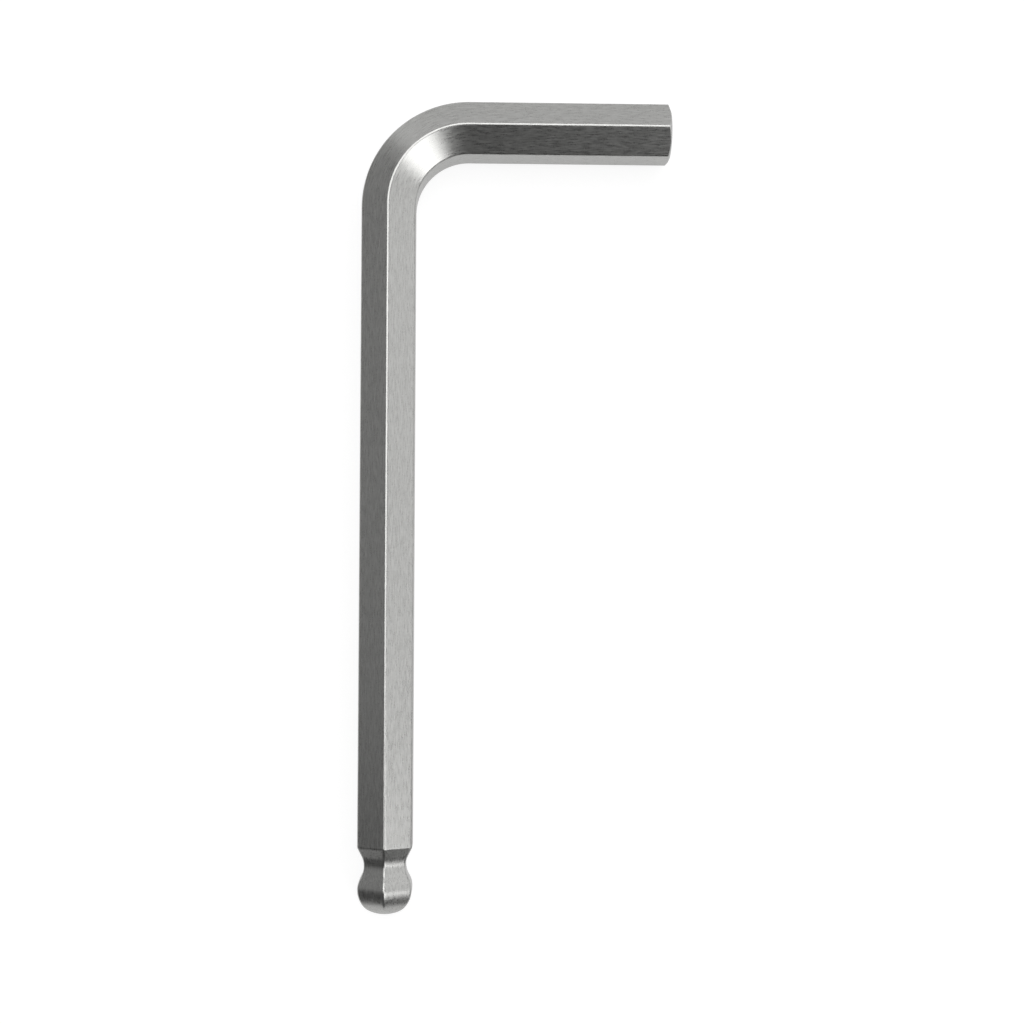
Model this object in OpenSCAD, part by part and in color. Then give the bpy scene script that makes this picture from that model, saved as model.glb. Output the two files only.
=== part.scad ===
// Hex key: one hexagonal steel bar, bent once, with a ball end on the long arm
// and a plain chamfered end on the short arm.
//
// The key lies flat, as it does on a bench. Its bend is in a level plane, and two
// opposite corners of the hexagon point straight up and down, so that one flat
// faces the inside of the bend. It rests on its lowest corner line. The long arm
// runs along Y with the ball at -Y, and the short arm points along +X.
// Origin: the middle of the space the key takes up, on the surface it lies on.

/* [Bar] */
// Size across the flats of the hexagon
af = 6; // [5:0.1:7.2]
// Radius that rounds each corner of the hexagon
corner_r = 0.25; // [0.15:0.05:0.4]

/* [Arms] */
// Long arm, from the outer flat of the short arm to the ball's tip
long_len = 90; // [72:1:150]
// Short arm, from the outer flat of the long arm to its end face
short_len = 34.5; // [27:0.5:60]
// Radius of the bend, at the middle of the bar
bend_r = 9; // [7.5:0.1:12]

/* [Ball end] */
// How far each face of the ball stays inside the bar's flat
ball_inset = 0.04; // [0.02:0.01:0.3]
// How much shorter the ball's front is than its radius
tip_cut = 0.11; // [0.08:0.01:0.4]
// How much larger the radius of the turned dome on the tip is than the ball's corners
dome_extra = 0.78; // [0.5:0.02:2]
// Radius behind the ball's widest line, where each face turns into the flank
back_r = 2.4; // [1.8:0.1:2.9]
// Depth of the neck, from the ball's faces
neck_depth = 0.685; // [0.565:0.01:0.9]
// Radius of the hollow that makes the neck
neck_r = 2.4; // [1.8:0.1:2.9]
// Slope of the flanks on both sides of the neck, from the bar's line
flank_angle = 26; // [21:1:30]

/* [Plain end] */
// How far the rim of the end face lies inside the bar's flats
chamfer_in = 0.27; // [0.1:0.01:0.6]
// Slope of the turned chamfer, from the end face
chamfer_angle = 25; // [15:1:45]

/* [Hidden] */
$fn = 96;
corner_facets = 24;
steel = [0.62, 0.62, 0.63];

// hexagon: a corner lies this much further out than a flat
corner_ratio = 2 / sqrt(3);
bar_h = af / 2;
corner_centre = (bar_h - corner_r) * corner_ratio;
corner_reach = corner_centre + corner_r;

// straight lengths of the two arms, from the bend to the tips
long_straight = long_len - bar_h - bend_r;
short_straight = short_len - bar_h - bend_r;

// half heights of the ball end's side view, over one pair of flats
ball_h = bar_h - ball_inset;
back_h = ball_h - back_r * (1 - cos(flank_angle));
neck_h = ball_h - neck_depth;
hollow_h = neck_h + neck_r * (1 - cos(flank_angle));

// where its stretches meet, along the bar from the tip
widest = ball_h - tip_cut;
ball_flank = widest + back_r * sin(flank_angle);
hollow_start = ball_flank + (back_h - hollow_h) / tan(flank_angle);
neck_mid = hollow_start + neck_r * sin(flank_angle);
hollow_end = neck_mid + neck_r * sin(flank_angle);
shoulder = hollow_end + (bar_h - hollow_h) / tan(flank_angle);

dome_r = ball_h * corner_ratio + dome_extra;

// the tools that shape the ends reach this far out, clear of the bar's corners
clear_r = af;

// hexagon with rounded corners, one of them along +Y
module bar_section() {
    polygon([for (i = [0:5], side = [-30, 30])
        let (a = 90 + 60 * i)
        corner_centre * [cos(a), sin(a)] + corner_r * [cos(a + side), sin(a + side)]]);
    for (i = [0:5])
        rotate(90 + 60 * i)
            translate([corner_centre, 0]) circle(r = corner_r, $fn = corner_facets);
}

// what is cut away in front of the ball's widest line, outside a true circle
module front_cut() {
    difference() {
        translate([-2 * clear_r, 0]) square([2 * clear_r + widest, clear_r]);
        translate([widest, 0]) circle(r = ball_h);
    }
}

// what is cut away behind it: down the flank to the neck, and up to the shoulder
module neck_cut() {
    difference() {
        union() {
            polygon([
                [widest, ball_h], [ball_flank, back_h], [hollow_start, hollow_h],
                [hollow_end, hollow_h], [shoulder, bar_h], [shoulder, clear_r], [widest, clear_r]]);
            translate([neck_mid, neck_h + neck_r]) circle(r = neck_r);
        }
        translate([widest, ball_h - back_r]) circle(r = back_r);
    }
}

// cutter for one face of the ball end, turned round the bar to that face.
// Its side view has x along the bar from the tip and y out from the bar's middle line.
module face_cutter(turn) {
    rotate([0, -90, turn - 90])
        translate([0, 0, -clear_r])
            linear_extrude(2 * clear_r) {
                front_cut();
                neck_cut();
            }
}

// round outer limit of the long arm, domed at the tip
module tip_limit() {
    translate([0, 0, dome_r]) rotate([90, 0, 0]) sphere(r = dome_r);
    translate([0, 0, dome_r]) cylinder(r = dome_r, h = long_straight - dome_r);
}

// straight part of the long arm, standing on its tip along +Z
module long_arm() {
    intersection() {
        difference() {
            translate([0, 0, -clear_r]) linear_extrude(clear_r + long_straight) bar_section();
            for (turn = [0:60:300]) face_cutter(turn);
        }
        tip_limit();
    }
}

// straight part of the short arm, standing on its end face along +Z
module short_arm() {
    rim_r = bar_h - chamfer_in;
    chamfer_h = (clear_r - rim_r) * tan(chamfer_angle);
    intersection() {
        linear_extrude(short_straight) bar_section();
        union() {
            cylinder(r1 = rim_r, r2 = clear_r, h = chamfer_h);
            translate([0, 0, chamfer_h]) cylinder(r = clear_r, h = short_straight - chamfer_h);
        }
    }
}

// quarter bend, from the end of the long arm round to the start of the short arm
module bend() {
    translate([bend_r, -bend_r, 0])
        rotate(90)
            rotate_extrude(angle = 90) translate([bend_r, 0]) bar_section();
}

// the whole key, with the crossing of its arms' middle lines at the origin
module bent_bar() {
    bend();
    translate([0, -bend_r - long_straight, 0]) rotate([-90, 0, 0]) long_arm();
    translate([bend_r + short_straight, 0, 0]) rotate([0, -90, 0]) rotate(90) short_arm();
}

module hex_key() {
    color(steel)
        translate([bar_h - short_len / 2, long_len / 2 - bar_h, corner_reach])
            bent_bar();
}

hex_key();
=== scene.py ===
from math import atan2, cos, degrees, hypot, pi, radians, sin, sqrt, tan

import bpy
from mathutils import Euler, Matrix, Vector


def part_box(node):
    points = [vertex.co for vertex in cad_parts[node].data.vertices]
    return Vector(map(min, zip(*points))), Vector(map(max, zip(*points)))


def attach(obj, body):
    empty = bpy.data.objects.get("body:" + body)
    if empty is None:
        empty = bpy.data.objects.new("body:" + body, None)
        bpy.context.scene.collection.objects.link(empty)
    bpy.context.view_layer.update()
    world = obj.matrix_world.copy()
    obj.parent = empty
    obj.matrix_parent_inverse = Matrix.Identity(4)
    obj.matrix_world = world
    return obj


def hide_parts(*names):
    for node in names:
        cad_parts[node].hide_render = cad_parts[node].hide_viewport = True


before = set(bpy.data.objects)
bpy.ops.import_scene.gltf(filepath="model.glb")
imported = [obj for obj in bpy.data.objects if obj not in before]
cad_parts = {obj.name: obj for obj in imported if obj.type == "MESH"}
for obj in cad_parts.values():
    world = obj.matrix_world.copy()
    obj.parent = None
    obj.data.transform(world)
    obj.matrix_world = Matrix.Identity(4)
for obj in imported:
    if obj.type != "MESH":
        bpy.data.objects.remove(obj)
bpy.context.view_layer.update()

MM = 0.001

# ---------------------------------------------------------------- sizes, in mm

BAR_H = 3.0  # half the size across the flats
CORNER_R = 0.3  # radius of the bar's rounded corners
CORNER_RATIO = 2 / sqrt(3)  # a hexagon's corner lies this much further out than its flat
BEND_R = 9.0  # radius of the bend, at the middle of the bar

BALL_H = 2.96  # half the size across the ball's flats, at its widest line
WIDEST = 2.85  # the widest line, from the tip
BACK_R = 2.4  # curve behind the widest line
NECK_H = 2.275  # half the size across the neck's flats
NECK_R = 2.4  # curve of the neck's hollow
SHOULDER = 7.402  # where the neck's flank meets the full bar, from the tip
FLANK = radians(26)  # slope of the flanks on both sides of the neck
DOME_R = 4.2  # turned dome on the tip

RIM_R = 2.73  # radius of the flat face on the short arm's end
CHAMFER = radians(25)  # slope of its turned chamfer, from the end face

SOFT_SHOULDER = 0.05  # heights over which the shoulder's edge is rounded
SOFT_DOME = 0.06  # and the dome's
SOFT_CHAMFER = 0.04  # and the chamfer's
RIM_WIDTH = 0.15  # flat ring of faces inside the rim of the end face

FACE_CUTS = 30  # points across each flat
CORNER_STEPS = 6  # faces round each corner
BEND_STEPS = 48  # rings round the bend
MANY_POINTS = 100  # only the end face has more points than this

# --------------------------------------------------- places, from the CAD model

low, high = (Vector(corner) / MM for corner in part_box("hex_key"))
LONG_X = low.x + BAR_H  # middle line of the long arm
SHORT_Y = high.y - BAR_H  # middle line of the short arm
MID_Z = (low.z + high.z) / 2
TIP_Y = low.y
END_X = high.x
BEND_X = LONG_X + BEND_R  # middle of the bend
BEND_Y = SHORT_Y - BEND_R


# -------------------------------------------------------------- profile curves


def soft_min(a, b, blend):
    """The smaller of two heights, with the edge between them rounded."""
    k = max(blend - abs(a - b), 0) / blend
    return min(a, b) - k * k * blend / 4


def flat_height(a):
    """Half the size across the flats, a mm from the ball's tip."""
    back_h = BALL_H - BACK_R * (1 - cos(FLANK))
    hollow_h = NECK_H + NECK_R * (1 - cos(FLANK))
    ball_flank = WIDEST + BACK_R * sin(FLANK)
    hollow_start = ball_flank + (back_h - hollow_h) / tan(FLANK)
    neck_mid = hollow_start + NECK_R * sin(FLANK)
    hollow_end = neck_mid + NECK_R * sin(FLANK)
    if a <= WIDEST:
        return sqrt(BALL_H**2 - (WIDEST - a) ** 2)
    if a <= ball_flank:
        return BALL_H - BACK_R + sqrt(BACK_R**2 - (a - WIDEST) ** 2)
    if a <= hollow_start:
        return back_h - (a - ball_flank) * tan(FLANK)
    if a <= hollow_end:
        return NECK_H + NECK_R - sqrt(NECK_R**2 - (a - neck_mid) ** 2)
    return soft_min(BAR_H, hollow_h + (a - hollow_end) * tan(FLANK), SOFT_SHOULDER)


def dome_radius(a):
    """Radius that the turned dome leaves, a mm from the tip."""
    return sqrt(max(DOME_R**2 - (DOME_R - a) ** 2, 0))


def chamfer_radius(a):
    """Radius that the turned chamfer leaves, a mm from the short arm's end."""
    return RIM_R + a / tan(CHAMFER)


def spaced(start, stop, step):
    """Places from start up to stop, about step apart."""
    count = max(1, round(abs(stop - start) / step))
    return [start + (stop - start) * i / count for i in range(count)]


# ------------------------------------------------------------------- modelling


def edit(obj, mode="VERT"):
    """Open the piece in edit mode, to select points, edges or faces."""
    bpy.ops.object.select_all(action="DESELECT")
    bpy.context.view_layer.objects.active = obj
    obj.select_set(True)
    bpy.ops.object.mode_set(mode="EDIT")
    bpy.ops.mesh.select_mode(type=mode)


def done():
    bpy.ops.object.mode_set(mode="OBJECT")


def pick(obj, mode, test):
    """Edit the piece with just the points, edges or faces selected that pass a test."""
    edit(obj, mode)
    bpy.ops.mesh.select_all(action="DESELECT")
    done()
    items = {"VERT": obj.data.vertices, "EDGE": obj.data.edges, "FACE": obj.data.polygons}[mode]
    for item in items:
        item.select = test(item)
    edit(obj, mode)


def pull(step):
    """Extrude the selected ring by a step in mm."""
    bpy.ops.mesh.extrude_region_move(TRANSFORM_OT_translate={"value": Vector(step) * MM})


def turn(obj, near, place, limit, blend):
    """Turn an end down as on a lathe: no point near it stays outside the limit curve."""
    for v in obj.data.vertices:
        a, centre = place(v.co / MM)
        if a < near:
            out = v.co / MM - centre
            radius = out.length
            if radius > 0:
                v.co = (centre + out * (soft_min(radius, limit(a), blend) / radius)) * MM


def long_arm_place(p):
    return p.y - TIP_Y, Vector((LONG_X, p.y, MID_Z))


def short_arm_place(p):
    return END_X - p.x, Vector((p.x, SHORT_Y, MID_Z))


def place_on_bar(p):
    """Where a point lay before the bar was bent: along it, and across it."""
    if p.y <= BEND_Y:
        along, across = p.y - BEND_Y, p.x - LONG_X
    elif p.x >= BEND_X:
        along, across = BEND_R * pi / 2 + p.x - BEND_X, SHORT_Y - p.y
    else:
        along = BEND_R * atan2(p.y - BEND_Y, BEND_X - p.x)
        across = BEND_R - hypot(p.y - BEND_Y, BEND_X - p.x)
    return Vector((along, across, p.z - MID_Z))


def model_bar():
    """The whole key, drawn out from one ring of points as the real bar is."""
    # the bar's section, standing across the long arm where the bend begins
    bpy.ops.object.select_all(action="DESELECT")
    bpy.ops.mesh.primitive_circle_add(
        vertices=6, radius=BAR_H * CORNER_RATIO * MM, fill_type="NOTHING",
        location=Vector((LONG_X, BEND_Y, MID_Z)) * MM, rotation=(radians(90), 0, 0))
    bar = bpy.context.object
    bar.name = "hex_key_bar"
    bpy.ops.object.transform_apply(location=True, rotation=True, scale=True)
    edit(bar)
    bpy.ops.mesh.select_all(action="SELECT")
    bpy.ops.mesh.bevel(offset=CORNER_R * tan(radians(30)) * MM, segments=CORNER_STEPS,
                       affect="VERTICES", clamp_overlap=False)
    done()

    # long arm: straight to the shoulder, then ring by ring down to the tip, closer
    # where it curves more: shoulder, neck, ball, its front, and the dome
    stations = (
        [SHOULDER + 0.15]
        + spaced(SHOULDER + 0.06, SHOULDER - 0.06, 0.015)
        + spaced(SHOULDER - 0.06, 3.2, 0.07)
        + spaced(3.2, 1.2, 0.06)
        + spaced(1.2, 0.25, 0.03)
        + [DOME_R - sqrt(DOME_R**2 - r**2) for r in spaced(1.36, 0.05, 0.09)]
    )
    edit(bar)
    bpy.ops.mesh.select_all(action="SELECT")
    place, height = BEND_Y - TIP_Y, BAR_H
    for a in stations:
        pull((0, a - place, 0))
        size = flat_height(a) / height
        middle = Vector((LONG_X, TIP_Y + a, MID_Z)) * MM
        bpy.ops.transform.resize(value=(size, 1, size), center_override=middle)
        place, height = a, flat_height(a)
    bpy.ops.mesh.merge(type="CENTER")
    done()

    # bend and short arm, from the ring where the section stood; the last rings lie
    # close together for the chamfer
    pick(bar, "VERT", lambda v: abs(v.co.y - BEND_Y * MM) < 1e-6)
    bpy.ops.mesh.spin(steps=BEND_STEPS, angle=radians(90), axis=(0, 0, 1),
                      center=Vector((BEND_X, BEND_Y, 0)) * MM)
    place = END_X - BEND_X
    for a in [0.6] + spaced(0.44, 0, 0.02) + [0]:
        pull((place - a, 0, 0))
        place = a
    bpy.ops.mesh.edge_face_add()
    done()

    # more points across each flat, for the turned ends
    def crosses_flat(edge):
        a, b = (place_on_bar(bar.data.vertices[i].co / MM) for i in edge.vertices)
        middle = (a + b) / 2
        turned = (degrees(atan2(middle.z, middle.y)) + 30) % 60 - 30
        return abs(a.x - b.x) < 0.001 and abs(turned) < 8

    pick(bar, "EDGE", crosses_flat)
    bpy.ops.mesh.subdivide(number_cuts=FACE_CUTS)
    done()

    turn(bar, 2.0, long_arm_place, dome_radius, SOFT_DOME)
    turn(bar, 0.5, short_arm_place, chamfer_radius, SOFT_CHAMFER)

    # keep the end face flat right up to its rim
    pick(bar, "FACE", lambda f: len(f.vertices) > MANY_POINTS)
    bpy.ops.mesh.inset(thickness=RIM_WIDTH * MM)
    bpy.ops.mesh.select_all(action="SELECT")
    bpy.ops.mesh.remove_doubles(threshold=0.0005 * MM)
    bpy.ops.mesh.normals_make_consistent(inside=False)
    done()
    bpy.ops.object.shade_smooth_by_angle(angle=radians(35))
    return bar


def note_place_on_bar(bar):
    """Keep each point's place on the straight bar, for the lines in the steel."""
    places = bar.data.attributes.new("bar_place", "FLOAT_VECTOR", "POINT")
    for v, spot in zip(bar.data.vertices, places.data):
        spot.vector = place_on_bar(v.co / MM)


# ------------------------------------------------------------------- materials


def colour(code):
    """sRGB hex to linear."""
    parts = (int(code[i : i + 2], 16) / 255 for i in (1, 3, 5))
    linear = (c / 12.92 if c <= 0.04045 else ((c + 0.055) / 1.055) ** 2.4 for c in parts)
    return (*linear, 1)


def material(name):
    made = bpy.data.materials.new(name)
    made.use_nodes = True
    return made, made.node_tree, made.node_tree.nodes["Principled BSDF"]


def add(tree, kind, settings=None, values=None, links=None):
    """Add a node with its settings, its values by socket, and its links by socket."""
    node = tree.nodes.new(kind)
    for name, value in (settings or {}).items():
        setattr(node, name, value)
    for name, value in (values or {}).items():
        node.inputs[name].default_value = value
    for name, source in (links or {}).items():
        tree.links.new(source, node.inputs[name])
    return node


def satin_plated_steel():
    """Tool steel drawn to a hexagon, tumbled and plated with nickel and chrome."""
    made, tree, shader = material("satin_plated_steel")
    shader.inputs["Metallic"].default_value = 1
    place = add(tree, "ShaderNodeAttribute", {"attribute_name": "bar_place"}).outputs["Vector"]

    # drawing lines: about 0.12 mm across and 1 mm long
    stretched = add(tree, "ShaderNodeMapping", {}, {"Scale": (0.9, 8, 8)}, {"Vector": place})
    lines = add(tree, "ShaderNodeTexNoise", {}, {"Scale": 1, "Detail": 2, "Roughness": 0.6},
                {"Vector": stretched.outputs["Vector"]})
    # fine grain of the tumbled and plated skin, about 0.2 mm
    grain = add(tree, "ShaderNodeTexNoise", {}, {"Scale": 5, "Detail": 2, "Roughness": 0.6},
                {"Vector": place})
    skin = add(tree, "ShaderNodeMix", {"data_type": "FLOAT"}, {"Factor": 0.25},
               {"A": lines.outputs["Fac"], "B": grain.outputs["Fac"]})

    tint = add(tree, "ShaderNodeValToRGB", {}, {}, {"Fac": skin.outputs["Result"]})
    tint.color_ramp.elements[0].position = 0.38
    tint.color_ramp.elements[0].color = colour("#B1B1AF")
    tint.color_ramp.elements[1].position = 0.62
    tint.color_ramp.elements[1].color = colour("#C7C7C5")
    tree.links.new(tint.outputs["Color"], shader.inputs["Base Color"])

    sheen = add(tree, "ShaderNodeMapRange", {},
                {"From Min": 0.38, "From Max": 0.62, "To Min": 0.27, "To Max": 0.34},
                {"Value": skin.outputs["Result"]})
    tree.links.new(sheen.outputs["Result"], shader.inputs["Roughness"])

    bump = add(tree, "ShaderNodeBump", {}, {"Strength": 0.15, "Distance": 0.00001},
               {"Height": skin.outputs["Result"]})
    tree.links.new(bump.outputs["Normal"], shader.inputs["Normal"])
    return made


def white_table():
    """White acrylic table, lit from below."""
    made, tree, shader = material("white_acrylic")
    shader.inputs["Base Color"].default_value = colour("#888888")
    shader.inputs["Roughness"].default_value = 0.7
    shader.inputs["Specular IOR Level"].default_value = 0.1
    shader.inputs["Emission Color"].default_value = colour("#FFFFFF")
    # the glow goes straight up: little of it reaches the sides of what lies on the table
    sight = add(tree, "ShaderNodeLightPath")
    glow = add(tree, "ShaderNodeMapRange", {}, {"To Min": 0.58, "To Max": 0.85},
               {"Value": sight.outputs["Is Camera Ray"]})
    tree.links.new(glow.outputs["Result"], shader.inputs["Emission Strength"])
    return made


# ------------------------------------------------------------------ the object

bar = model_bar()
note_place_on_bar(bar)
bar.data.materials.clear()
bar.data.materials.append(satin_plated_steel())
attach(bar, "root")
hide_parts("hex_key")

# ----------------------------------------------------------- floor and lighting

TABLE_SIZE = 3  # metres

bpy.ops.object.select_all(action="DESELECT")
bpy.ops.mesh.primitive_plane_add(size=TABLE_SIZE, location=(0, 0, low.z * MM))
floor = bpy.context.object
floor.name = "table"
floor.data.materials.append(white_table())

scene = bpy.context.scene
scene.view_settings.view_transform = "Standard"
world = bpy.data.worlds.new("studio")
scene.world = world
world.use_nodes = True
# a dim room for the steel to reflect, behind a pale backdrop
studio = world.node_tree
room = studio.nodes["Background"]
room.inputs["Color"].default_value = colour("#FFFFFF")
room.inputs["Strength"].default_value = 0.06
backdrop = add(studio, "ShaderNodeBackground", {}, {"Color": colour("#F2F2F2"), "Strength": 1})
seen = add(studio, "ShaderNodeLightPath")
choice = add(studio, "ShaderNodeMixShader", {}, {}, {"Fac": seen.outputs["Is Camera Ray"]})
studio.links.new(room.outputs["Background"], choice.inputs[1])
studio.links.new(backdrop.outputs["Background"], choice.inputs[2])
studio.links.new(choice.outputs["Shader"], studio.nodes["World Output"].inputs["Surface"])


def softbox(name, azimuth, elevation, width, height, glow, distance=1.5):
    """A soft light that faces the object, its size given by the angles it fills in degrees."""
    light = bpy.data.lights.new(name, "AREA")
    light.shape = "RECTANGLE"
    light.size = 2 * distance * tan(radians(width / 2))
    light.size_y = 2 * distance * tan(radians(height / 2))
    light.energy = glow * pi * light.size * light.size_y
    box = bpy.data.objects.new(name, light)
    scene.collection.objects.link(box)
    az, el = radians(azimuth), radians(elevation)
    towards = Vector((cos(az) * cos(el), sin(az) * cos(el), sin(el)))
    box.location = towards * distance
    box.rotation_euler = towards.to_track_quat("Z", "Y").to_euler()


softbox("overhead", 90, 71, 56, 56, 2.0)
softbox("key", -33, 43, 29, 26, 3.1)
softbox("right", 24, 26, 60, 34, 0.92)
softbox("back", 88, 16, 76, 26, 0.66)
softbox("left", 152, 28, 68, 34, 0.23)

# ---------------------------------------------------------------------- camera

camera = bpy.data.cameras.new("camera")
camera.lens = 55.07
camera.sensor_width = 36
camera.shift_x = 0.01
camera.shift_y = 0.04
camera.clip_start = 0.005
camera.clip_end = 20
eye = bpy.data.objects.new("camera", camera)
scene.collection.objects.link(eye)
eye.location = Vector((-6.53, -13.09, 177.42)) * MM
eye.rotation_euler = Euler((radians(2.561), radians(-1.657), radians(0.174)))
scene.camera = eye
